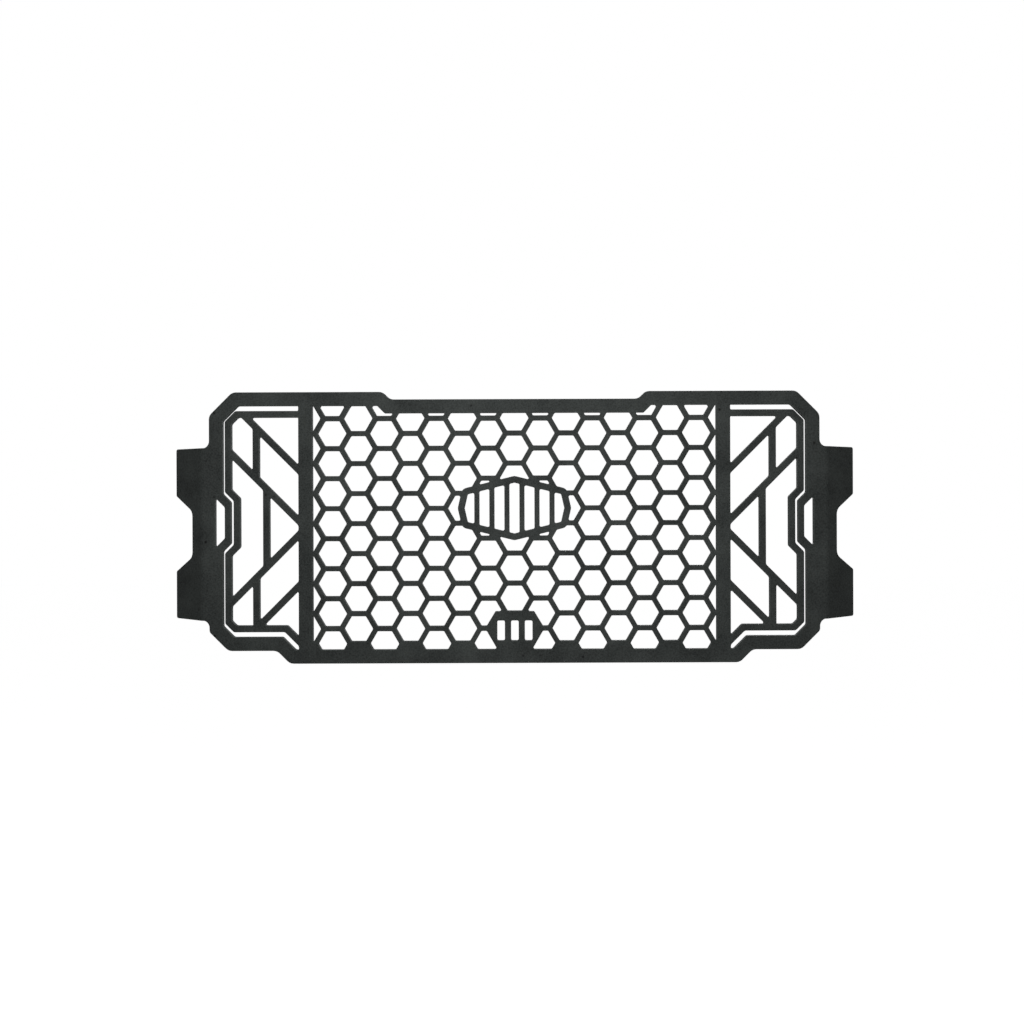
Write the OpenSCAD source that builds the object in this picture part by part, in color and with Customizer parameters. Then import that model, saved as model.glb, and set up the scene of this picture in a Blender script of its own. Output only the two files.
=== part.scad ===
// Radiator guard for a motorcycle: one laser-cut steel sheet with a honeycomb field,
// an open strut panel at each end and two side flanges folded back.
// Millimetres. The guard stands upright as it is fitted: +Z is up, +X runs along its width
// and the front face looks towards -Y. The origin is the middle of its overall box.

/* [Sheet] */
// Thickness of the sheet
sheet_t = 2; // [1.5:0.1:3]
// Width of the flat panel between its two side edges
panel_w = 274.3; // [250:0.1:320]
// Height of the panel at its tallest
panel_h = 122; // [112:0.1:140]
// Depth of the shallow dip along the middle of the top edge
top_dip = 3.4; // [1:0.1:6]
// Width of the floor of that dip
top_dip_w = 111.4; // [80:0.1:140]
// How far the two lower ends sit above the middle of the bottom edge
end_rise = 5.8; // [2:0.1:9]
// Width of the lowest part of the bottom edge
bottom_w = 202; // [180:0.1:206]
// Length of the 45 degree cut at each top corner
top_corner = 10.5; // [6:0.1:14]
// Length of the 45 degree cut at each bottom corner
bottom_corner = 8.5; // [5:0.1:12]
// Rounding of the corners of the outline
outline_r = 2.6; // [0.5:0.1:3]

/* [Frame] */
// Width of the frame along the top and bottom edges
frame_w = 6.2; // [4:0.1:9]
// Width of the frame along each side edge
side_frame_w = 5.9; // [5.5:0.1:8]
// Width of the upright bar between the honeycomb and the strut panel
bar_w = 6.4; // [4:0.1:10]
// Distance from the side edge of the panel to that bar
end_w = 40.1; // [36:0.1:46]
// Rounding of the corners of the cut-outs at each end
cut_r = 0.5; // [0.2:0.05:0.5]

/* [Honeycomb] */
// Distance between neighbouring cell centres
cell_pitch = 13.5; // [11:0.1:18]
// Width of the web left between two cells
web_w = 2.3; // [1.6:0.1:3]

/* [Strut panel] */
// Width of the slot above and below the rim of the strut panel
slot_w = 2.2; // [1.5:0.1:3]
// Width of the slot between the rim and the side frame
side_slot_w = 1.2; // [1.1:0.1:2.5]
// Width of the rim round the strut panel
rim_w = 3; // [2:0.1:4]
// Width of the struts and posts
strut_w = 3; // [2:0.1:4]
// Height from one slanting strut to the next
strut_pitch = 22.9; // [20:0.1:26]
// Distance from the bar to the post in the middle
inner_post = 14.4; // [10:0.1:18]
// Distance from the bar to the posts above and below it
outer_post = 19; // [14:0.1:22]
// Size of the corner cut at the top of the strut panel's window
window_corner_top = 3; // [1:0.1:5]
// Size of the corner cut at the bottom of the strut panel's window
window_corner_bottom = 2.1; // [1:0.1:5]

/* [Side step] */
// Height of the centre of the step above mid-height
step_z = 2.4; // [-4:0.1:8]
// How far the rim steps inward
step_depth = 3.9; // [2:0.1:5]
// Straight height of the step at the window
step_h = 22.1; // [16:0.1:30]
// Width of the strip between the slot and the side hole
link_w = 2.8; // [2:0.1:3.5]
// Width of the hole in the side frame
hole_w = 4.2; // [3:0.1:5]
// Height of the hole along its shorter side
hole_h = 13.9; // [9:0.1:18]

/* [Plaque] */
// Width of the plaque in the honeycomb
plaque_w = 51; // [40:0.5:62]
// Height of the plaque at its middle
plaque_h = 29; // [22:0.5:36]
// Height of the plaque at its ends
plaque_end_h = 17.4; // [12:0.1:20]
// How far the ends of the plaque swell outward
plaque_bulge = 2; // [1:0.1:4]
// Rounding of the plaque's corners
plaque_r = 3; // [1:0.1:5]
// Width of the rim of the plaque
plaque_rim = 3; // [2:0.1:4]
// Height of the centre of the plaque above mid-height
plaque_z = 8.6; // [4:0.1:14]
// Number of upright windows in the plaque
plaque_windows = 7; // [3:2:9]

/* [Lower plate] */
// Width of the plate at its widest
plate_w = 26.6; // [22:0.1:32]
// Width of the plate along its top edge
plate_top_w = 17.4; // [12:0.1:20]
// Height of the top edge above the widest line
plate_rise = 7.6; // [5:0.1:10]
// Number of cells from the plaque down to the widest line
plate_cells = 4; // [3:1:4]
// Width of the three upright slots in the plate
plate_slot_w = 3.4; // [2:0.1:4]
// Distance between those slots
plate_slot_pitch = 6.2; // [5:0.1:7]
// Height of those slots
plate_slot_h = 9; // [6:0.1:10]
// How far the middle of those slots lies below the widest line
plate_slot_drop = 1; // [0:0.1:2]

/* [Flanges] */
// Angle by which each flange is folded back
fold_angle = 30; // [15:1:60]
// Inside radius of the fold
fold_r = 2; // [1:0.1:4]
// Number of flats that the curve of the fold is drawn with
fold_steps = 10; // [6:1:16]
// Distance from the side edge of the panel to the start of the fold
fold_offset = 2.2; // [1:0.1:4]
// Flat length of a flange after the fold
flange_len = 16.6; // [12:0.1:24]
// Height of a flange along the fold
flange_h = 77.6; // [70:0.1:86]
// Height of the middle of the flanges above mid-height
flange_z = -2.8; // [-5:0.1:2]
// Radius of the fillet between the side edge and the flange
root_r = 3.3; // [2.3:0.1:5]
// Rounding of the outer corners of a flange
flange_r = 1; // [0.3:0.1:2.5]
// Depth of the notch in a flange
notch_depth = 11.1; // [6:0.1:11.5]
// Height of the notch at its floor
notch_floor_h = 20.5; // [14:0.1:28]
// Height of the notch at its mouth
notch_mouth_h = 34.5; // [28:0.1:44]
// Rounding of the two corners in the notch
notch_r = 4; // [1:0.1:5]

/* [Hidden] */
$fn = 48;
side_x = panel_w / 2;
top_z = panel_h / 2;
bottom_z = -panel_h / 2;
bar_x = side_x - end_w;
field_x = bar_x - bar_w;
slot_x = side_x - side_frame_w;
rim_x = slot_x - side_slot_w;
window_x = rim_x - rim_w;
cell_w = cell_pitch - web_w;
column_pitch = cell_pitch * cos(30);
columns = ceil((field_x + cell_w) / column_pitch);
rows = ceil(panel_h / cell_pitch);
plate_z = plaque_z - plate_cells * cell_pitch;
fold_x = side_x + fold_offset;
fold_outer_r = fold_r + sheet_t;
flange_depth = fold_outer_r * (1 - cos(fold_angle)) + flange_len * sin(fold_angle);
depth = flange_depth + sheet_t * cos(fold_angle);
front_y = -depth / 2;
over = 1;

// Both halves of a shape drawn for the right-hand side
module both_sides() {
    children();
    mirror([1, 0, 0]) children();
}

// Rounds the outward corners of a flat shape
module rounded(r) {
    offset(r = r) offset(delta = -r) children();
}

// Fills the inward corners of a flat shape with a radius
module filleted(r) {
    offset(r = -r) offset(delta = r) children();
}

// Outline of the panel without its flanges, with sharp corners
module outline(top_cut = top_corner, bottom_cut = bottom_corner) {
    dip = top_dip_w / 2;
    low = bottom_w / 2;
    both_sides() polygon([
        [0, bottom_z],
        [low, bottom_z],
        [low + end_rise, bottom_z + end_rise],
        [side_x - bottom_cut, bottom_z + end_rise],
        [side_x, bottom_z + end_rise + bottom_cut],
        [side_x, top_z - top_cut],
        [side_x - top_cut, top_z],
        [dip + top_dip, top_z],
        [dip, top_z - top_dip],
        [0, top_z - top_dip],
    ]);
}

// The part of the panel inside the frame, from one upright line to another
module inside_frame(inset, from_x, to_x) {
    intersection() {
        offset(delta = -inset) outline();
        translate([from_x, bottom_z]) square([to_x - from_x, panel_h]);
    }
}

// Inward step of the strut panel, which narrows by the same amount as the edge moves out
module step(edge_x, out) {
    half = step_h / 2 - out * tan(22.5);
    translate([edge_x, step_z]) polygon([
        [over, -half - step_depth - over],
        [over, half + step_depth + over],
        [-step_depth, half],
        [-step_depth, -half],
    ]);
}

// Region out to the edge of the side frame, bounded by the slot's outer edge
module slot_region() {
    difference() {
        inside_frame(frame_w, bar_x, slot_x);
        step(slot_x, rim_w + side_slot_w);
    }
}

// Window of the strut panel, before the struts cross it
module window_region() {
    inset = frame_w + slot_w + rim_w;
    high = top_z - inset;
    low = bottom_z + end_rise + inset;
    difference() {
        intersection() {
            offset(delta = -inset) outline(0, 0);
            translate([bar_x, bottom_z]) square([window_x - bar_x, panel_h]);
        }
        step(window_x, 0);
        corner_cut(window_x, high, -window_corner_top);
        corner_cut(window_x, low, window_corner_bottom);
    }
}

// Triangle taken off a corner of the window at 45 degrees
module corner_cut(x, z, size) {
    polygon([
        [x + over, z - sign(size) * over],
        [x + over, z + size + sign(size) * over],
        [x - abs(size) - over, z - sign(size) * over],
    ]);
}

// Rim of the strut panel, with its ends run into the bar
module rim_region() {
    intersection() {
        offset(delta = rim_w) window_region();
        translate([bar_x, bottom_z]) square([end_w, panel_h]);
    }
}

// Slanting strut that starts on the bar's centre line and runs outward
module slanting_strut(z, angle) {
    reach = end_w * sqrt(2);
    translate([bar_x - bar_w / 2, z]) rotate(angle)
        translate([0, -strut_w / 2]) square([reach, strut_w]);
}

// Upright post between two heights
module post(x, low, high) {
    translate([x - strut_w / 2, low]) square([strut_w, high - low]);
}

module struts() {
    inner = inner_post + bar_w / 2;
    outer = outer_post + bar_w / 2;
    for (z = [0, strut_pitch]) slanting_strut(z, 45);
    for (z = [0, -strut_pitch]) slanting_strut(z, -45);
    post(bar_x + inner_post, -inner, inner);
    post(bar_x + outer_post, outer, outer + strut_pitch);
    post(bar_x + outer_post, bottom_z, -outer);
}

// Hole in the side frame beside the step
module side_hole() {
    inner_x = slot_x - step_depth + link_w;
    half = hole_h / 2;
    translate([inner_x, step_z]) polygon([
        [0, -half],
        [hole_w, -half - hole_w],
        [hole_w, half + hole_w],
        [0, half],
    ]);
}

// Everything cut from one end of the panel
module end_cuts() {
    difference() {
        slot_region();
        rim_region();
    }
    difference() {
        window_region();
        struts();
    }
    side_hole();
}

// Honeycomb cells over the whole field, on staggered columns
module cells() {
    for (column = [-columns : columns]) {
        stagger = column % 2 == 0 ? 0 : cell_pitch / 2;
        for (row = [-rows : rows]) {
            z = plaque_z + row * cell_pitch + stagger;
            if (z > bottom_z + frame_w && z < top_z + cell_w / 2)
                translate([column * column_pitch, z])
                    circle(r = cell_w / 2 / cos(30), $fn = 6);
        }
    }
}

// Outline of the plaque
module plaque() {
    half_w = plaque_w / 2;
    translate([0, plaque_z]) rounded(plaque_r) both_sides() polygon([
        [0, -plaque_h / 2],
        [half_w - plaque_bulge, -plaque_end_h / 2],
        [half_w, 0],
        [half_w - plaque_bulge, plaque_end_h / 2],
        [0, plaque_h / 2],
    ]);
}

// Evenly spaced upright windows inside the plaque's rim
module plaque_cuts() {
    inner_w = plaque_w - 2 * plaque_rim;
    pitch = (inner_w + web_w) / plaque_windows;
    intersection() {
        offset(delta = -plaque_rim) plaque();
        for (i = [0 : plaque_windows - 1])
            translate([-inner_w / 2 + i * pitch, plaque_z - plaque_h / 2])
                square([pitch - web_w, plaque_h]);
    }
}

// Outline of the plate that rises from the middle of the bottom edge
module plate() {
    drop = plate_z - bottom_z;
    both_sides() translate([0, plate_z]) polygon([
        [0, -drop],
        [plate_w / 2 - drop * tan(30), -drop],
        [plate_w / 2, 0],
        [plate_top_w / 2, plate_rise],
        [0, plate_rise],
    ]);
}

// Three plain upright slots in the lower plate
module plate_cuts() {
    for (i = [-1 : 1])
        translate([i * plate_slot_pitch, plate_z - plate_slot_drop])
            square([plate_slot_w, plate_slot_h], center = true);
}

// Everything cut from the middle of the panel
module field_cuts() {
    difference() {
        intersection() {
            inside_frame(frame_w, -field_x, field_x);
            cells();
        }
        plaque();
        plate();
    }
    plaque_cuts();
    plate_cuts();
}

// Strip that carries a flange, from inside the side edge to the start of the fold,
// with a fillet into the side edge above and below
module flange_root() {
    across = root_r - fold_offset;
    rise = sqrt(root_r * root_r - across * across);
    translate([0, flange_z]) {
        translate([side_x - over, -flange_h / 2]) square([fold_offset + over, flange_h]);
        for (up = [0, 1]) mirror([0, up]) difference() {
            translate([side_x - over, flange_h / 2 - over])
                square([fold_offset + over, rise + over]);
            translate([side_x + root_r, flange_h / 2 + rise]) circle(r = root_r);
        }
    }
}

// The flat panel as it is cut from the sheet, without the flanges
module panel_face() {
    difference() {
        union() {
            rounded(outline_r) outline();
            both_sides() flange_root();
        }
        both_sides() rounded(cut_r, $fn = 16) end_cuts();
        field_cuts();
    }
}

module panel() {
    translate([0, front_y + sheet_t, 0]) rotate([90, 0, 0])
        linear_extrude(sheet_t) panel_face();
}

// Outline of a flange, flat, measured from the end of the fold and run back behind it
module flange_face() {
    back = fold_outer_r + notch_r;
    slope = (notch_mouth_h - notch_floor_h) / 2 / notch_depth;
    rounded(flange_r) filleted(notch_r) difference() {
        translate([-back, -flange_h / 2]) square([back + flange_len, flange_h]);
        translate([flange_len, 0]) polygon([
            [-notch_depth, -notch_floor_h / 2],
            [over, -notch_mouth_h / 2 - over * slope],
            [over, notch_mouth_h / 2 + over * slope],
            [-notch_depth, notch_floor_h / 2],
        ]);
    }
}

// Point of the fold's section at a radius and an angle round its centre line
function round_fold(r, angle) = r * [sin(angle), -cos(angle)];

// Point at the free end of a flange's section, on the face that leaves the fold at a radius
function free_end(r) =
    round_fold(r, fold_angle) + flange_len * [cos(fold_angle), sin(fold_angle)];

// Section through a flange seen from above: its root in the panel, the fold, then the flat
module flange_section() {
    angles = [for (i = [0 : fold_steps]) i * fold_angle / fold_steps];
    polygon(concat(
        [[-over, -fold_outer_r]],
        [for (i = [0 : fold_steps]) round_fold(fold_outer_r, angles[i])],
        [free_end(fold_outer_r), free_end(fold_r)],
        [for (i = [fold_steps : -1 : 0]) round_fold(fold_r, angles[i])],
        [[-over, -fold_r]]
    ));
}

// Right-hand flange with its fold, trimmed square to its flat
module flange() {
    translate([fold_x, front_y + fold_outer_r, flange_z]) intersection() {
        linear_extrude(flange_h, center = true) flange_section();
        rotate([0, 0, fold_angle]) rotate([90, 0, 0])
            linear_extrude(fold_outer_r + over) flange_face();
    }
}

module guard() {
    color([0.16, 0.165, 0.16]) {
        panel();
        both_sides() flange();
    }
}

guard();
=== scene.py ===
"""Looks of a motorcycle radiator guard: one laser-cut, folded and powder-coated steel sheet."""
import math
from collections import defaultdict

import bmesh
import bpy
from mathutils import Matrix, Vector
from mathutils.geometry import delaunay_2d_cdt


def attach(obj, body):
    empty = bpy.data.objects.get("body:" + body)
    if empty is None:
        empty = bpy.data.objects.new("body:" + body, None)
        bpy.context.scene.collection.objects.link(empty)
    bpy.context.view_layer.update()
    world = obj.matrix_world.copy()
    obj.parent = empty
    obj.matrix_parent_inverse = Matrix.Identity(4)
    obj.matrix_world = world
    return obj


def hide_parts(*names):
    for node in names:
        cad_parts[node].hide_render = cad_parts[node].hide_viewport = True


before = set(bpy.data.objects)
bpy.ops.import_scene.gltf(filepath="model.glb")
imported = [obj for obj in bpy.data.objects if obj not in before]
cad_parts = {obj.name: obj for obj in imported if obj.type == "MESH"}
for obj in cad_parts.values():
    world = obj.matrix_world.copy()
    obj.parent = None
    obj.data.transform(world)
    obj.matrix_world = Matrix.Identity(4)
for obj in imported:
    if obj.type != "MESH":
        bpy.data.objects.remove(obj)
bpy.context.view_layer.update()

MM = 0.001

# Sheet and panel, in millimetres, as in the part's source
SHEET_T = 2.0
PANEL_W = 274.3
PANEL_H = 122.0
TOP_DIP = 3.4
TOP_DIP_W = 111.4
END_RISE = 5.8
BOTTOM_W = 202.0
TOP_CORNER = 10.5
BOTTOM_CORNER = 8.5

# Frame and bars
FRAME_W = 6.2
SIDE_FRAME_W = 5.9
BAR_W = 6.4
END_W = 40.1
CUT_R = 0.5

# Honeycomb
CELL_PITCH = 13.5
WEB_W = 2.3
# From the middle of a hexagon to its side, over the distance to its corner
HEX_RATIO = math.cos(math.radians(30))

# Strut panel
SLOT_W = 2.2
SIDE_SLOT_W = 1.2
RIM_W = 3.0
STRUT_W = 3.0
STRUT_PITCH = 22.9
INNER_POST = 14.4
OUTER_POST = 19.0
WINDOW_CORNER_TOP = 3.0
WINDOW_CORNER_BOTTOM = 2.1

# Side step
STEP_Z = 2.4
STEP_DEPTH = 3.9
STEP_H = 22.1
LINK_W = 2.8
HOLE_W = 4.2
HOLE_H = 13.9

# Plaque and lower plate
PLAQUE_W = 51.0
PLAQUE_H = 29.0
PLAQUE_END_H = 17.4
PLAQUE_BULGE = 2.0
PLAQUE_R = 3.0
PLAQUE_RIM = 3.0
PLAQUE_Z = 8.6
PLAQUE_WINDOWS = 7
PLATE_W = 26.6
PLATE_TOP_W = 17.4
PLATE_RISE = 7.6
PLATE_CELLS = 4
PLATE_SLOT_W = 3.4
PLATE_SLOT_PITCH = 6.2
PLATE_SLOT_H = 9.0
PLATE_SLOT_DROP = 1.0

# Flanges
FOLD_ANGLE = math.radians(30)
FOLD_R = 2.0
FOLD_OFFSET = 2.2
FLANGE_LEN = 16.6
FLANGE_H = 77.6
FLANGE_Z = -2.8
ROOT_R = 3.3
FLANGE_R = 1.0
NOTCH_DEPTH = 11.1
NOTCH_FLOOR_H = 20.5
NOTCH_MOUTH_H = 34.5
NOTCH_R = 4.0

# Corners and edges a little softer than in the part's source, as the photograph shows them
OUTLINE_R = 4.0
BEND_R = 1.5
CELL_R = 0.7
EDGE_R = 0.3

# Places that follow from the sizes
SIDE_X = PANEL_W / 2
TOP_Z = PANEL_H / 2
BOTTOM_Z = -PANEL_H / 2
BAR_X = SIDE_X - END_W
FIELD_X = BAR_X - BAR_W
SLOT_X = SIDE_X - SIDE_FRAME_W
WINDOW_X = SLOT_X - SIDE_SLOT_W - RIM_W
CELL_W = CELL_PITCH - WEB_W
PLATE_Z = PLAQUE_Z - PLATE_CELLS * CELL_PITCH
FOLD_X = SIDE_X + FOLD_OFFSET
FOLD_OUTER_R = FOLD_R + SHEET_T
FOLD_LENGTH = (FOLD_R + SHEET_T / 2) * FOLD_ANGLE
TIP_X = FOLD_X + FOLD_LENGTH + FLANGE_LEN
DEPTH = (
    FOLD_OUTER_R * (1 - math.cos(FOLD_ANGLE))
    + FLANGE_LEN * math.sin(FOLD_ANGLE)
    + SHEET_T * math.cos(FOLD_ANGLE)
)
FRONT_Y = -DEPTH / 2


# Flat outlines, as points (x, z) that run anticlockwise
def mirrored(outline):
    return [(-x, z) for x, z in reversed(outline)]


def rectangle(x0, x1, z0, z1):
    return [(x0, z0), (x1, z0), (x1, z1), (x0, z1)]


def offset(outline, distance):
    """Moves every side of an outline outward, or inward by a negative distance."""
    moved = []
    for i, point in enumerate(outline):
        here = Vector(point)
        before = (here - Vector(outline[i - 1])).normalized()
        after = (Vector(outline[(i + 1) % len(outline)]) - here).normalized()
        outward = Vector((before.y + after.y, -before.x - after.x))
        moved.append(tuple(here + outward * distance / (1 + before.dot(after))))
    return moved


def round_corner(before, here, after, radius, turn_step=math.radians(15), share=0.48):
    """Arc that replaces the corner here, within a share of either side that is under a half."""
    back, on = before - here, after - here
    half = back.angle(on) / 2
    reach = min(radius / math.tan(half), share * back.length, share * on.length)
    radius = reach * math.tan(half)
    middle = (back.normalized() + on.normalized()).normalized()
    centre = here + middle * (radius / math.sin(half))
    start = here + back.normalized() * reach - centre
    turn = math.copysign(math.pi - 2 * half, on.cross(back))
    steps = max(2, math.ceil(abs(turn) / turn_step))
    return [centre + Matrix.Rotation(turn * k / steps, 2) @ start for k in range(steps + 1)]


def rounded(corners):
    """Outline through corners given as (x, z, radius)."""
    points = [Vector(c[:2]) for c in corners]
    line = []
    for i, (here, corner) in enumerate(zip(points, corners)):
        after = points[(i + 1) % len(points)]
        if corner[2]:
            line += round_corner(points[i - 1], here, after, corner[2])
        else:
            line.append(here)
    return [tuple(p) for p in line]


def with_radius(corners, radius):
    return [(x, z, radius) for x, z in corners]


def panel_corners(top_cut, bottom_cut):
    """Right-hand corners of the panel, from the bottom to the top."""
    dip, low = TOP_DIP_W / 2, BOTTOM_W / 2
    return [
        (low, BOTTOM_Z),
        (low + END_RISE, BOTTOM_Z + END_RISE),
        (SIDE_X - bottom_cut, BOTTOM_Z + END_RISE),
        (SIDE_X, BOTTOM_Z + END_RISE + bottom_cut),
        (SIDE_X, TOP_Z - top_cut),
        (SIDE_X - top_cut, TOP_Z),
        (dip + TOP_DIP, TOP_Z),
        (dip, TOP_Z - TOP_DIP),
    ]


def root_arc(up, steps=6):
    """Fillet from the side edge into the lower or upper edge of a flange."""
    across = ROOT_R - FOLD_OFFSET
    rise = math.sqrt(ROOT_R**2 - across**2)
    centre = Vector((SIDE_X + ROOT_R, FLANGE_Z + up * (FLANGE_H / 2 + rise)))
    end = math.acos(across / ROOT_R)
    turns = [end * k / steps for k in range(steps + 1)]
    arc = [centre + ROOT_R * Vector((-math.cos(a), -up * math.sin(a))) for a in turns]
    return with_radius([tuple(p) for p in arc], 0)


def sheet_outline():
    """The whole sheet as it is cut, flat, with both flanges."""
    panel = with_radius(panel_corners(TOP_CORNER, BOTTOM_CORNER), OUTLINE_R)
    half = FLANGE_H / 2
    flange = [
        (TIP_X, FLANGE_Z - half, FLANGE_R),
        (TIP_X, FLANGE_Z - NOTCH_MOUTH_H / 2, FLANGE_R),
        (TIP_X - NOTCH_DEPTH, FLANGE_Z - NOTCH_FLOOR_H / 2, NOTCH_R),
        (TIP_X - NOTCH_DEPTH, FLANGE_Z + NOTCH_FLOOR_H / 2, NOTCH_R),
        (TIP_X, FLANGE_Z + NOTCH_MOUTH_H / 2, FLANGE_R),
        (TIP_X, FLANGE_Z + half, FLANGE_R),
    ]
    right = panel[:4] + root_arc(-1) + flange + root_arc(1)[::-1] + panel[4:]
    left = [(-x, z, radius) for x, z, radius in reversed(right)]
    return rounded(right + left)


def window_outline():
    """Window of the right-hand strut panel, before the struts cross it."""
    inset = FRAME_W + SLOT_W + RIM_W
    high = TOP_Z - inset
    low = BOTTOM_Z + END_RISE + inset
    slant = BOTTOM_W / 2 - BOTTOM_Z - inset * math.sqrt(2)
    half = STEP_H / 2
    return [
        (BAR_X, BAR_X - slant),
        (low + slant, low),
        (WINDOW_X - WINDOW_CORNER_BOTTOM, low),
        (WINDOW_X, low + WINDOW_CORNER_BOTTOM),
        (WINDOW_X, STEP_Z - half - STEP_DEPTH),
        (WINDOW_X - STEP_DEPTH, STEP_Z - half),
        (WINDOW_X - STEP_DEPTH, STEP_Z + half),
        (WINDOW_X, STEP_Z + half + STEP_DEPTH),
        (WINDOW_X, high - WINDOW_CORNER_TOP),
        (WINDOW_X - WINDOW_CORNER_TOP, high),
        (BAR_X, high),
    ]


def slot_step(past=1.0):
    """Where the slot steps inward, round the hole in the side frame, run on past its outer edge."""
    half_turn = math.radians(22.5)
    half = STEP_H / 2 - (RIM_W + SIDE_SLOT_W) * math.tan(half_turn)
    return [
        (SLOT_X - STEP_DEPTH, STEP_Z - half),
        (SLOT_X + past, STEP_Z - half - STEP_DEPTH - past),
        (SLOT_X + past, STEP_Z + half + STEP_DEPTH + past),
        (SLOT_X - STEP_DEPTH, STEP_Z + half),
    ]


def side_hole():
    inner_x = SLOT_X - STEP_DEPTH + LINK_W
    half = HOLE_H / 2
    return [
        (inner_x, STEP_Z - half),
        (inner_x + HOLE_W, STEP_Z - half - HOLE_W),
        (inner_x + HOLE_W, STEP_Z + half + HOLE_W),
        (inner_x, STEP_Z + half),
    ]


def struts():
    """Slanting struts and upright posts of the right-hand panel."""
    shapes = []
    start = Vector((BAR_X - BAR_W / 2, 0))
    for z, slope in ((0, 1), (STRUT_PITCH, 1), (0, -1), (-STRUT_PITCH, -1)):
        along = Vector((END_W, END_W * slope))
        across = Vector((-slope, 1)).normalized() * STRUT_W / 2
        foot = start + Vector((0, z))
        corners = [foot - across, foot + along - across, foot + along + across, foot + across]
        shapes.append([tuple(p) for p in corners])
    inner, outer = INNER_POST + BAR_W / 2, OUTER_POST + BAR_W / 2
    for x, low, high in (
        (BAR_X + INNER_POST, -inner, inner),
        (BAR_X + OUTER_POST, outer, outer + STRUT_PITCH),
        (BAR_X + OUTER_POST, BOTTOM_Z, -outer),
    ):
        shapes.append(rectangle(x - STRUT_W / 2, x + STRUT_W / 2, low, high))
    return shapes


def plaque_corners():
    half, end = PLAQUE_W / 2, PLAQUE_END_H / 2
    right = [
        (half - PLAQUE_BULGE, PLAQUE_Z - end),
        (half, PLAQUE_Z),
        (half - PLAQUE_BULGE, PLAQUE_Z + end),
    ]
    return [(0, PLAQUE_Z - PLAQUE_H / 2), *right, (0, PLAQUE_Z + PLAQUE_H / 2), *mirrored(right)]


def plaque_windows():
    """Evenly spaced plain windows across the plaque."""
    inner_w = PLAQUE_W - 2 * PLAQUE_RIM
    pitch = (inner_w + WEB_W) / PLAQUE_WINDOWS
    return [
        rectangle(
            -inner_w / 2 + i * pitch,
            -inner_w / 2 + (i + 1) * pitch - WEB_W,
            PLAQUE_Z - PLAQUE_H / 2,
            PLAQUE_Z + PLAQUE_H / 2,
        )
        for i in range(PLAQUE_WINDOWS)
    ]


def plate_outline():
    """Plate that rises from the middle of the bottom edge."""
    drop = PLATE_Z - BOTTOM_Z
    lean = math.radians(30)
    right = [
        (PLATE_W / 2 - drop * math.tan(lean), BOTTOM_Z),
        (PLATE_W / 2, PLATE_Z),
        (PLATE_TOP_W / 2, PLATE_Z + PLATE_RISE),
    ]
    return right + mirrored(right)


def plate_slots():
    low = PLATE_Z - PLATE_SLOT_DROP - PLATE_SLOT_H / 2
    return [
        rectangle(
            i * PLATE_SLOT_PITCH - PLATE_SLOT_W / 2,
            i * PLATE_SLOT_PITCH + PLATE_SLOT_W / 2,
            low,
            low + PLATE_SLOT_H,
        )
        for i in (-1, 0, 1)
    ]


# Geometry Nodes
class Tree:
    """A node tree with short calls to add and link its nodes."""

    def __init__(self, name, kind="GeometryNodeTree"):
        self.tree = bpy.data.node_groups.new(name, kind)

    def socket(self, name, kind, default=None, out=False):
        made = self.tree.interface.new_socket(
            name=name, in_out="OUTPUT" if out else "INPUT", socket_type=kind
        )
        if default is not None:
            made.default_value = default
        return made

    def node(self, kind, links=(), **settings):
        made = self.tree.nodes.new(kind)
        for key, value in settings.items():
            setattr(made, key, value)
        for key, value in dict(links).items():
            if isinstance(value, bpy.types.NodeSocket):
                self.tree.links.new(value, made.inputs[key])
            else:
                made.inputs[key].default_value = value
        return made

    def maths(self, operation, *values):
        made = self.node("ShaderNodeMath", enumerate(values), operation=operation)
        return made.outputs[0]


def baked(owner, tree, name, **inputs):
    """Plain mesh that a tree makes on an object, with the tree's inputs set by name."""
    modifier = owner.modifiers.new(name, "NODES")
    modifier.node_group = tree
    for item in tree.interface.items_tree:
        if item.item_type == "SOCKET" and item.in_out == "INPUT" and item.name in inputs:
            modifier[item.identifier] = inputs[item.name]
    evaluated = owner.evaluated_get(bpy.context.evaluated_depsgraph_get())
    mesh = bpy.data.meshes.new_from_object(evaluated)
    owner.modifiers.remove(modifier)
    mesh.name = name
    return mesh


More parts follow.
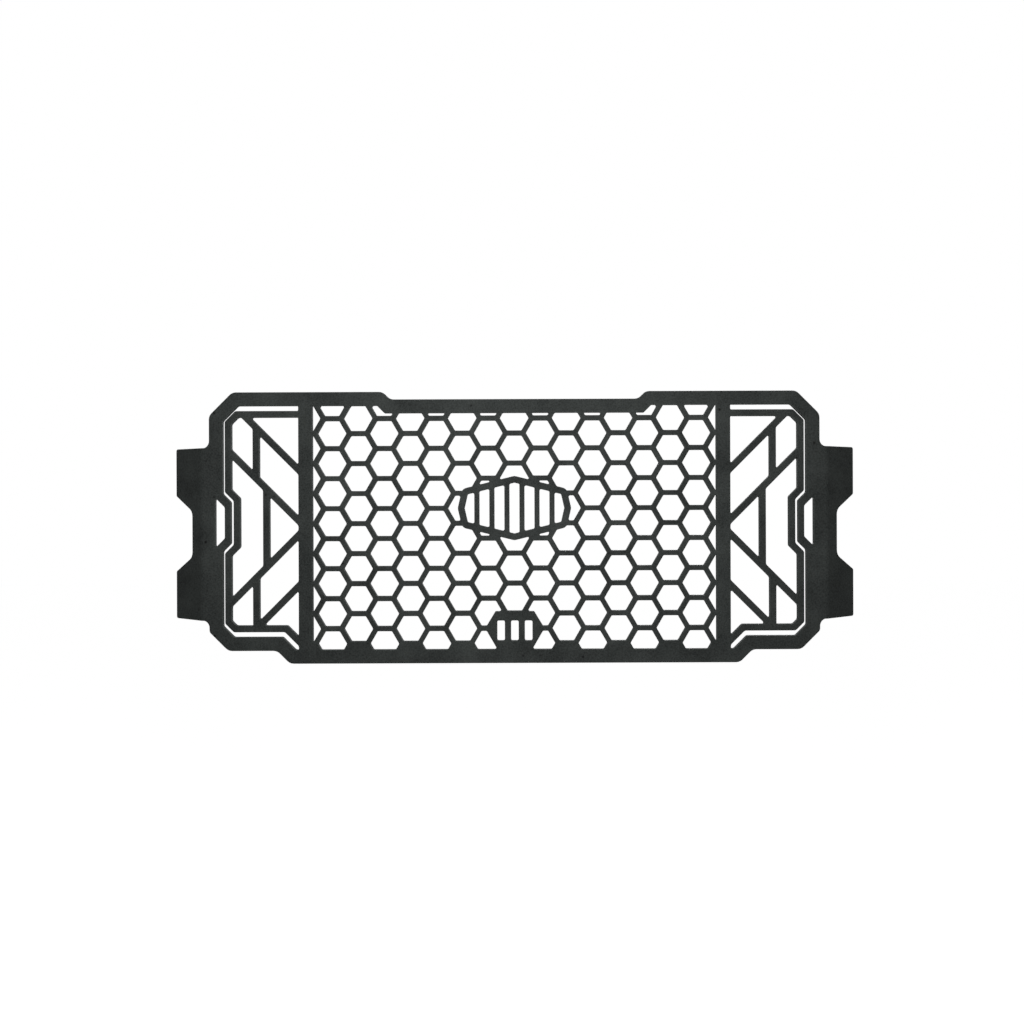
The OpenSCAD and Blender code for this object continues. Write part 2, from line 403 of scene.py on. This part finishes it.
def honeycomb_tree(material):
    """Hexagons on staggered columns, flats up and down, lying flat about the origin."""
    t = Tree("honeycomb cells")
    for name in ("Cell Pitch", "Web Width", "Centre Height", "Lowest Centre"):
        t.socket(name, "NodeSocketFloat")
    for name in ("Columns", "Rows"):
        t.socket(name, "NodeSocketInt")
    t.socket("Material", "NodeSocketMaterial", material)
    t.socket("Geometry", "NodeSocketGeometry", out=True)
    given = t.node("NodeGroupInput").outputs
    column_pitch = t.maths("MULTIPLY", given["Cell Pitch"], HEX_RATIO)
    wide = t.maths("MULTIPLY", t.maths("SUBTRACT", given["Columns"], 1.0), column_pitch)
    tall = t.maths("MULTIPLY", t.maths("SUBTRACT", given["Rows"], 1.0), given["Cell Pitch"])
    centres = t.node(
        "GeometryNodeMeshGrid",
        {
            "Size X": wide,
            "Size Y": tall,
            "Vertices X": given["Columns"],
            "Vertices Y": given["Rows"],
        },
    )
    place = t.node("ShaderNodeSeparateXYZ", {0: t.node("GeometryNodeInputPosition").outputs[0]})
    column = t.maths("ROUND", t.maths("DIVIDE", place.outputs["X"], column_pitch))
    odd = t.maths("FLOORED_MODULO", column, 2.0)
    half_pitch = t.maths("MULTIPLY", given["Cell Pitch"], 0.5)
    lift = t.maths("ADD", given["Centre Height"], t.maths("MULTIPLY", odd, half_pitch))
    staggered = t.node(
        "GeometryNodeSetPosition",
        {
            "Geometry": centres.outputs["Mesh"],
            "Offset": t.node("ShaderNodeCombineXYZ", {"Y": lift}).outputs[0],
        },
    )
    after = t.node("ShaderNodeSeparateXYZ", {0: t.node("GeometryNodeInputPosition").outputs[0]})
    too_low = t.node(
        "FunctionNodeCompare",
        {"A": after.outputs["Y"], "B": given["Lowest Centre"]},
        data_type="FLOAT",
        operation="LESS_THAN",
    )
    kept = t.node(
        "GeometryNodeDeleteGeometry",
        {"Geometry": staggered.outputs[0], "Selection": too_low.outputs[0]},
        domain="POINT",
    )
    across = t.maths("SUBTRACT", given["Cell Pitch"], given["Web Width"])
    cell = t.node(
        "GeometryNodeMeshCircle",
        {"Vertices": 6, "Radius": t.maths("DIVIDE", across, 2 * HEX_RATIO)},
        fill_type="NGON",
    )
    cells = t.node(
        "GeometryNodeInstanceOnPoints",
        {"Points": kept.outputs[0], "Instance": cell.outputs["Mesh"]},
    )
    real = t.node("GeometryNodeRealizeInstances", {"Geometry": cells.outputs[0]})
    coated = t.node(
        "GeometryNodeSetMaterial", {"Geometry": real.outputs[0], "Material": given["Material"]}
    )
    t.node("NodeGroupOutput", {"Geometry": coated.outputs[0]})
    return t.tree


def folding_tree(material):
    """Folds the ends of a flat sheet back about two upright lines, at a constant radius."""
    t = Tree("folded flanges")
    t.socket("Geometry", "NodeSocketGeometry")
    for name in ("Fold Line", "Fold Length", "Outside Radius", "Fold Angle", "Front Face"):
        t.socket(name, "NodeSocketFloat")
    t.socket("Material", "NodeSocketMaterial", material)
    t.socket("Geometry", "NodeSocketGeometry", out=True)
    given = t.node("NodeGroupInput").outputs
    place = t.node("ShaderNodeSeparateXYZ", {0: t.node("GeometryNodeInputPosition").outputs[0]})
    side = t.maths("SIGN", place.outputs["X"])
    out = t.maths("ABSOLUTE", place.outputs["X"])
    past = t.maths("SUBTRACT", out, given["Fold Line"])
    share = t.node("ShaderNodeClamp", {"Value": t.maths("DIVIDE", past, given["Fold Length"])})
    angle = t.maths("MULTIPLY", share.outputs[0], given["Fold Angle"])
    flat = t.maths("MAXIMUM", t.maths("SUBTRACT", past, given["Fold Length"]), 0.0)
    depth = t.maths("SUBTRACT", place.outputs["Y"], given["Front Face"])
    radius = t.maths("SUBTRACT", given["Outside Radius"], depth)
    sine, cosine = t.maths("SINE", angle), t.maths("COSINE", angle)
    new_x = t.maths(
        "ADD",
        t.maths("MINIMUM", out, given["Fold Line"]),
        t.maths("MULTIPLY_ADD", radius, sine, t.maths("MULTIPLY", flat, cosine)),
    )
    centre_y = t.maths("ADD", given["Front Face"], given["Outside Radius"])
    back = t.maths(
        "SUBTRACT", t.maths("MULTIPLY", flat, sine), t.maths("MULTIPLY", radius, cosine)
    )
    folded = t.node(
        "GeometryNodeSetPosition",
        {
            "Geometry": given["Geometry"],
            "Position": t.node(
                "ShaderNodeCombineXYZ",
                {
                    "X": t.maths("MULTIPLY", side, new_x),
                    "Y": t.maths("ADD", centre_y, back),
                    "Z": place.outputs["Z"],
                },
            ).outputs[0],
        },
    )
    real = t.node("GeometryNodeRealizeInstances", {"Geometry": folded.outputs[0]})
    coated = t.node(
        "GeometryNodeSetMaterial", {"Geometry": real.outputs[0], "Material": given["Material"]}
    )
    t.node("NodeGroupOutput", {"Geometry": coated.outputs[0]})
    return t.tree


# Cutting the sheet
SAME_POINT = 0.01
STRAIGHT_TURN = math.radians(0.5)
SHARP_TURN = math.radians(25)
GENTLE_TURN = math.radians(60)


def honeycomb_cells(material):
    """Outlines of the cells, read from the faces that the honeycomb tree makes."""
    empty = bpy.data.objects.new("cells", bpy.data.meshes.new("cells"))
    bpy.context.scene.collection.objects.link(empty)
    columns_each_side = math.ceil((FIELD_X + CELL_W) / CELL_PITCH / HEX_RATIO)
    rows_each_side = math.ceil(PANEL_H / CELL_PITCH)
    mesh = baked(
        empty,
        honeycomb_tree(material),
        "honeycomb cells",
        **{
            "Cell Pitch": CELL_PITCH * MM,
            "Web Width": WEB_W * MM,
            "Columns": 2 * columns_each_side + 1,
            "Rows": 2 * rows_each_side + 1,
            "Centre Height": PLAQUE_Z * MM,
            "Lowest Centre": (BOTTOM_Z + FRAME_W) * MM,
        },
    )
    bpy.data.objects.remove(empty)
    corners = [v.co / MM for v in mesh.vertices]
    return [[(corners[i].x, corners[i].y) for i in face.vertices] for face in mesh.polygons]


def shapes_of_the_pattern(material):
    """Every shape of the flat pattern with its name. is_sheet says what each one does."""
    right = [("window", window_outline()), ("rim", offset(window_outline(), RIM_W))]
    right += [("slot step", slot_step()), ("side hole", side_hole())]
    right += [("end zone", rectangle(BAR_X, SLOT_X, BOTTOM_Z, TOP_Z))]
    right += [("strut", shape) for shape in struts()]
    shapes = [("sheet", sheet_outline())]
    half = panel_corners(TOP_CORNER, BOTTOM_CORNER)
    shapes += [("inside the frame", offset(half + mirrored(half), -FRAME_W))]
    shapes += [("field", rectangle(-FIELD_X, FIELD_X, BOTTOM_Z, TOP_Z))]
    shapes += [("cell", cell) for cell in honeycomb_cells(material)]
    shapes += [("plaque", rounded(with_radius(plaque_corners(), PLAQUE_R)))]
    shapes += [("inside the plaque", offset(plaque_corners(), -PLAQUE_RIM))]
    shapes += [("plaque window", window) for window in plaque_windows()]
    shapes += [("plate", plate_outline())]
    shapes += [("plate slot", slot) for slot in plate_slots()]
    return shapes + right + [(name, mirrored(shape)) for name, shape in right]


def is_sheet(inside):
    """Whether steel is left where the shapes with these names overlap."""
    slot = {"inside the frame", "end zone"} <= inside and not inside & {"slot step", "rim"}
    window = "window" in inside and "strut" not in inside
    cell = {"inside the frame", "field", "cell"} <= inside and not inside & {"plaque", "plate"}
    plaque_window = {"inside the plaque", "plaque window"} <= inside
    cut = slot or window or cell or plaque_window or inside & {"side hole", "plate slot"}
    return "sheet" in inside and not cut


def anticlockwise(outline):
    area = sum(
        a[0] * b[1] - b[0] * a[1] for a, b in zip(outline, outline[1:] + outline[:1])
    )
    return outline if area > 0 else outline[::-1]


def overlaid(outlines):
    """Points and triangles of overlapping outlines, with the outlines that hold each triangle
    and the given points that each point stands for."""
    given, faces = [], []
    for outline in outlines:
        faces.append(list(range(len(given), len(given) + len(outline))))
        given += [Vector(p) for p in anticlockwise(outline)]
    only_inside, merge_distance = 1, 1e-5
    points, _, triangles, origins, _, owners = delaunay_2d_cdt(
        given, [], faces, only_inside, merge_distance
    )
    return points, triangles, owners, origins


def edge_loops(triangles):
    """Closed runs of the edges that only one triangle uses, with the steel on their left."""
    sides = {(t[i - 1], t[i]) for t in triangles for i in range(3)}
    following = defaultdict(list)
    for a, b in sides:
        if (b, a) not in sides:
            following[a].append(b)
    loops = []
    while following:
        first = here = min(following)
        loop = []
        while True:
            loop.append(here)
            after = following[here].pop()
            if not following[here]:
                del following[here]
            here = after
            if here == first:
                break
        loops.append(loop)
    return loops


def straightened(loop):
    """The loop without points that lie on a straight side or on top of each other."""
    points = [p for i, p in enumerate(loop) if (p - loop[i - 1]).length > SAME_POINT]
    kept = []
    for i, here in enumerate(points):
        before, after = here - points[i - 1], points[(i + 1) % len(points)] - here
        if abs(before.angle_signed(after)) > STRAIGHT_TURN:
            kept.append(here)
    return kept


def corner_radius(x, turn, margin=0.1):
    """Radius of a corner in the honeycomb, or of a gentle bend or a corner in an end cut-out."""
    if abs(x) < FIELD_X + margin:
        return CELL_R
    return BEND_R if abs(turn) < GENTLE_TURN else CUT_R


def softened(loop):
    """The loop with its sharp corners turned on a small radius, as the laser leaves them."""
    line = []
    for i, here in enumerate(loop):
        before, after = loop[i - 1], loop[(i + 1) % len(loop)]
        turn = (here - before).angle_signed(after - here)
        if abs(turn) > SHARP_TURN:
            line += round_corner(before, here, after, corner_radius(here.x, turn))
        else:
            line.append(here)
    return line


def pattern_loops(material):
    """Edges of the flat pattern, cut and softened."""
    names, outlines = zip(*shapes_of_the_pattern(material))
    points, triangles, owners, _ = overlaid(outlines)
    steel = [t for t, held in zip(triangles, owners) if is_sheet({names[i] for i in held})]
    loops = [[points[i] for i in loop] for loop in edge_loops(steel)]
    return [softened(straightened(loop)) for loop in loops]


def edge_profile(steps=3):
    """Steps (inward, depth) round the rolled front edge, down the cut and round the back edge."""
    quarter = [
        (EDGE_R * (1 - math.sin(a)), EDGE_R * (1 - math.cos(a)))
        for a in (math.pi / 2 * k / steps for k in range(steps + 1))
    ]
    return quarter + [(inward, SHEET_T - depth) for inward, depth in reversed(quarter)]


def flat_sheet(loops):
    """Solid sheet from its edge loops, each edge rolled over, as a bmesh in metres."""
    bm = bmesh.new()
    edge = bm.verts.layers.float.new("edge")
    profile = edge_profile()
    faces_at = {0: [], len(profile) - 1: []}
    for loop in loops:
        rings = []
        for step, (inward, depth) in enumerate(profile):
            moved = offset([tuple(p) for p in loop], -inward)
            ring = [bm.verts.new((x * MM, (FRONT_Y + depth) * MM, z * MM)) for x, z in moved]
            for vert in ring:
                vert[edge] = 0.0 if step in faces_at else 1.0
            if step in faces_at:
                faces_at[step].append((moved, ring))
            rings.append(ring)
        for upper, lower in zip(rings, rings[1:]):
            for i in range(len(upper)):
                bm.faces.new((upper[i], upper[i - 1], lower[i - 1], lower[i]))
    for step, outlines in faces_at.items():
        verts = []
        for moved, ring in outlines:
            verts += ring if anticlockwise(moved) == moved else ring[::-1]
        _, triangles, owners, origins = overlaid([moved for moved, _ in outlines])
        for triangle, held in zip(triangles, owners):
            if len(held) == 1:
                corners = [verts[origins[i][0]] for i in triangle]
                bm.faces.new(corners if step == 0 else corners[::-1])
    return bm


def scored(bm, lines_per_fold=9):
    """Upright rows of points across each fold, so that it bends round."""
    for side in (-1, 1):
        for k in range(lines_per_fold):
            x = side * (FOLD_X + FOLD_LENGTH * k / (lines_per_fold - 1)) * MM
            bmesh.ops.bisect_plane(
                bm,
                geom=bm.verts[:] + bm.edges[:] + bm.faces[:],
                dist=1e-7,
                plane_co=(x, 0, 0),
                plane_no=(1, 0, 0),
            )


# Finish, in linear colours, with the darker and the paler cloud at each end of the grain
DARK_GRAIN = (0.0125, 0.014, 0.0133, 1), (0.0265, 0.0295, 0.028, 1)
PALE_GRAIN = (0.0295, 0.0325, 0.0315, 1), (0.0435, 0.048, 0.046, 1)
SPECK = (0.008, 0.008, 0.008, 1)
PALE_EDGE = (0.050, 0.055, 0.053, 1)
SPECULAR = 0.02
ROUGHNESS = 0.55, 0.7


def powder_mottle_group(dot_scale=260.0, dots_left_out=0.93):
    """Faint cloudiness and fine grain of a sprayed and baked coat, with a few specks."""
    t = Tree("powder mottle", "ShaderNodeTree")
    t.socket("Vector", "NodeSocketVector")
    t.socket("Cloud Scale", "NodeSocketFloat", 70.0)
    t.socket("Grain Scale", "NodeSocketFloat", 1300.0)
    t.socket("Cloud", "NodeSocketFloat", out=True)
    t.socket("Grain", "NodeSocketFloat", out=True)
    t.socket("Specks", "NodeSocketFloat", out=True)
    given = t.node("NodeGroupInput").outputs
    cloud = t.node(
        "ShaderNodeTexNoise",
        {
            "Vector": given["Vector"],
            "Scale": given["Cloud Scale"],
            "Detail": 3.0,
            "Roughness": 0.6,
        },
    )
    grain = t.node(
        "ShaderNodeTexNoise",
        {
            "Vector": given["Vector"],
            "Scale": given["Grain Scale"],
            "Detail": 2.0,
            "Roughness": 0.7,
        },
    )
    dots = t.node("ShaderNodeTexVoronoi", {"Vector": given["Vector"], "Scale": dot_scale})
    near = t.node(
        "ShaderNodeMapRange",
        {
            "Value": dots.outputs["Distance"],
            "From Min": 0.06,
            "From Max": 0.22,
            "To Min": 1.0,
            "To Max": 0.0,
        },
    )
    drawn = t.node("ShaderNodeSeparateColor", {0: dots.outputs["Color"]}).outputs[0]
    rare = t.maths("GREATER_THAN", drawn, dots_left_out)
    specks = t.maths("MULTIPLY", near.outputs[0], rare)
    spread = [
        t.node(
            "ShaderNodeMapRange",
            {"Value": noise.outputs[0], "From Min": low, "From Max": high},
        )
        for noise, low, high in ((cloud, 0.32, 0.68), (grain, 0.3, 0.6))
    ]
    t.node(
        "NodeGroupOutput",
        {"Cloud": spread[0].outputs[0], "Grain": spread[1].outputs[0], "Specks": specks},
    )
    return t.tree


def orange_peel_group():
    """Normal of the fine orange peel that powder leaves as it flows out."""
    t = Tree("orange peel", "ShaderNodeTree")
    t.socket("Vector", "NodeSocketVector")
    t.socket("Scale", "NodeSocketFloat", 700.0)
    t.socket("Strength", "NodeSocketFloat", 0.2)
    t.socket("Normal", "NodeSocketVector", out=True)
    given = t.node("NodeGroupInput").outputs
    peel = t.node(
        "ShaderNodeTexNoise",
        {"Vector": given["Vector"], "Scale": given["Scale"], "Detail": 1.5, "Roughness": 0.5},
    )
    bump = t.node(
        "ShaderNodeBump",
        {"Strength": given["Strength"], "Distance": 0.0002, "Height": peel.outputs[0]},
    )
    t.node("NodeGroupOutput", {"Normal": bump.outputs[0]})
    return t.tree


def powder_coat():
    """Matte black powder coat on steel, a little thinner and paler over the cut edges."""
    material = bpy.data.materials.new("powder coat")
    material.use_nodes = True
    nodes, links = material.node_tree.nodes, material.node_tree.links
    shader = nodes["Principled BSDF"]
    shader.inputs["Specular IOR Level"].default_value = SPECULAR
    place = nodes.new("ShaderNodeTexCoord").outputs["Object"]

    mottle = nodes.new("ShaderNodeGroup")
    mottle.node_tree = powder_mottle_group()
    links.new(place, mottle.inputs["Vector"])
    peel = nodes.new("ShaderNodeGroup")
    peel.node_tree = orange_peel_group()
    links.new(place, peel.inputs["Vector"])
    edge = nodes.new("ShaderNodeAttribute")
    edge.attribute_name = "edge"

    def mix(factor, first, second):
        made = nodes.new("ShaderNodeMix")
        made.data_type = "RGBA"
        factor_in, first_in, second_in = (made.inputs[i] for i in (0, 6, 7))
        for socket, value in ((factor_in, factor), (first_in, first), (second_in, second)):
            if isinstance(value, bpy.types.NodeSocket):
                links.new(value, socket)
            else:
                socket.default_value = value
        return made.outputs[2]

    pale = mix(mottle.outputs["Cloud"], *PALE_GRAIN)
    dark = mix(mottle.outputs["Cloud"], *DARK_GRAIN)
    grained = mix(mottle.outputs["Grain"], dark, pale)
    specked = mix(mottle.outputs["Specks"], grained, SPECK)
    edged = mix(edge.outputs["Fac"], specked, PALE_EDGE)
    links.new(edged, shader.inputs["Base Color"])

    rough = nodes.new("ShaderNodeMapRange")
    rough.inputs["To Min"].default_value, rough.inputs["To Max"].default_value = ROUGHNESS
    links.new(mottle.outputs["Grain"], rough.inputs["Value"])
    links.new(rough.outputs[0], shader.inputs["Roughness"])
    links.new(peel.outputs["Normal"], shader.inputs["Normal"])
    return material


# The guard
def folded_guard(material):
    """The sheet cut to its pattern, folded and coated, as one object."""
    bm = flat_sheet(pattern_loops(material))
    scored(bm)
    mesh = bpy.data.meshes.new("flat sheet")
    bm.to_mesh(mesh)
    bm.free()
    flat = bpy.data.objects.new("flat sheet", mesh)
    bpy.context.scene.collection.objects.link(flat)
    folded = baked(
        flat,
        folding_tree(material),
        "folded sheet",
        **{
            "Fold Line": FOLD_X * MM,
            "Fold Length": FOLD_LENGTH * MM,
            "Outside Radius": FOLD_OUTER_R * MM,
            "Fold Angle": FOLD_ANGLE,
            "Front Face": FRONT_Y * MM,
        },
    )
    bpy.data.objects.remove(flat)
    folded.shade_smooth()
    folded.materials.clear()
    folded.materials.append(material)
    guard = bpy.data.objects.new("folded_sheet", folded)
    bpy.context.scene.collection.objects.link(guard)
    weighted = guard.modifiers.new("flat faces", "WEIGHTED_NORMAL")
    weighted.mode = "FACE_AREA"
    weighted.weight = 100
    return guard


guard = folded_guard(powder_coat())
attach(guard, "root")
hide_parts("guard")


# Camera, straight in front as in the photograph, with the picture's shift in pixels
IMAGE_SIZE = 1024
SHIFT_RIGHT = -18
SHIFT_UP = -14
CAMERA_X = 0.007
CAMERA_Z = 0.0131
CAMERA_DISTANCE = 0.354
CAMERA_ROLL = math.radians(0.2)
FIELD_WIDTH = 0.4596
camera_data = bpy.data.cameras.new("camera")
camera_data.sensor_width = 36
camera_data.lens = camera_data.sensor_width * CAMERA_DISTANCE / FIELD_WIDTH
camera_data.shift_x = SHIFT_RIGHT / IMAGE_SIZE
camera_data.shift_y = SHIFT_UP / IMAGE_SIZE
camera_data.clip_start = 0.01
camera = bpy.data.objects.new("camera", camera_data)
camera.location = (CAMERA_X, FRONT_Y * MM - CAMERA_DISTANCE, CAMERA_Z)
camera.rotation_euler = (math.radians(90), CAMERA_ROLL, 0)
bpy.context.scene.collection.objects.link(camera)
bpy.context.scene.camera = camera


# Light and surroundings
def area_light(name, place, size, power):
    """Round softbox aimed at the middle of the guard."""
    data = bpy.data.lights.new(name, "AREA")
    data.shape = "DISK"
    data.size = size
    data.energy = power
    lamp = bpy.data.objects.new(name, data)
    lamp.location = place
    lamp.rotation_euler = (-Vector(place)).to_track_quat("-Z", "Y").to_euler()
    bpy.context.scene.collection.objects.link(lamp)


def window_light(name, towards, strength, width):
    """Broad even light from far away, such as a large window."""
    data = bpy.data.lights.new(name, "SUN")
    data.energy = strength
    data.angle = width
    lamp = bpy.data.objects.new(name, data)
    lamp.rotation_euler = Vector(towards).to_track_quat("Z", "Y").to_euler()
    bpy.context.scene.collection.objects.link(lamp)


def seen_directly(nodes, links):
    """1 for camera, glossy and transmission rays, which see the white surroundings."""
    path = nodes.new("ShaderNodeLightPath")
    total = path.outputs["Is Camera Ray"]
    for name in ("Is Glossy Ray", "Is Transmission Ray"):
        both = nodes.new("ShaderNodeMath")
        both.operation = "MAXIMUM"
        links.new(total, both.inputs[0])
        links.new(path.outputs[name], both.inputs[1])
        total = both.outputs[0]
    return total


def white_studio(ambient):
    """World that is white where it is seen and dim where it only lights."""
    world = bpy.data.worlds.new("white studio")
    bpy.context.scene.world = world
    world.use_nodes = True
    nodes, links = world.node_tree.nodes, world.node_tree.links
    background = nodes["Background"]
    background.inputs["Color"].default_value = (1, 1, 1, 1)
    strength = nodes.new("ShaderNodeMapRange")
    strength.inputs["To Min"].default_value = ambient
    strength.inputs["To Max"].default_value = 1.0
    links.new(seen_directly(nodes, links), strength.inputs["Value"])
    links.new(strength.outputs[0], background.inputs["Strength"])


def studio_floor(height, reach=4.0, strength=0.9):
    """Pale floor well below the hanging guard, bright enough to come out plain white."""
    mesh = bpy.data.meshes.new("floor")
    corners = [(x * reach, y * reach, height) for x, y in ((-1, -1), (1, -1), (1, 1), (-1, 1))]
    mesh.from_pydata(corners, [], [(0, 1, 2, 3)])
    floor = bpy.data.objects.new("floor", mesh)
    bpy.context.scene.collection.objects.link(floor)
    material = bpy.data.materials.new("pale floor")
    material.use_nodes = True
    nodes, links = material.node_tree.nodes, material.node_tree.links
    shader = nodes["Principled BSDF"]
    shader.inputs["Base Color"].default_value = (0.8, 0.8, 0.8, 1)
    shader.inputs["Roughness"].default_value = 1.0
    shader.inputs["Specular IOR Level"].default_value = 0.0
    shader.inputs["Emission Color"].default_value = (1, 1, 1, 1)
    glow = nodes.new("ShaderNodeMath")
    glow.operation = "MULTIPLY"
    glow.inputs[1].default_value = strength
    links.new(seen_directly(nodes, links), glow.inputs[0])
    links.new(glow.outputs[0], shader.inputs["Emission Strength"])
    mesh.materials.append(material)


area_light("front softbox", place=(-0.005, -0.3, 0.095), size=0.07, power=1.04)
area_light("back softbox", place=(0.2, 0.6, 0.22), size=0.5, power=5)
window_light("high window", towards=(-0.1, -0.5, 0.86), strength=0.3, width=math.radians(30))
white_studio(ambient=0.04)
studio_floor(height=-0.45)
bpy.context.scene.view_settings.view_transform = "Standard"
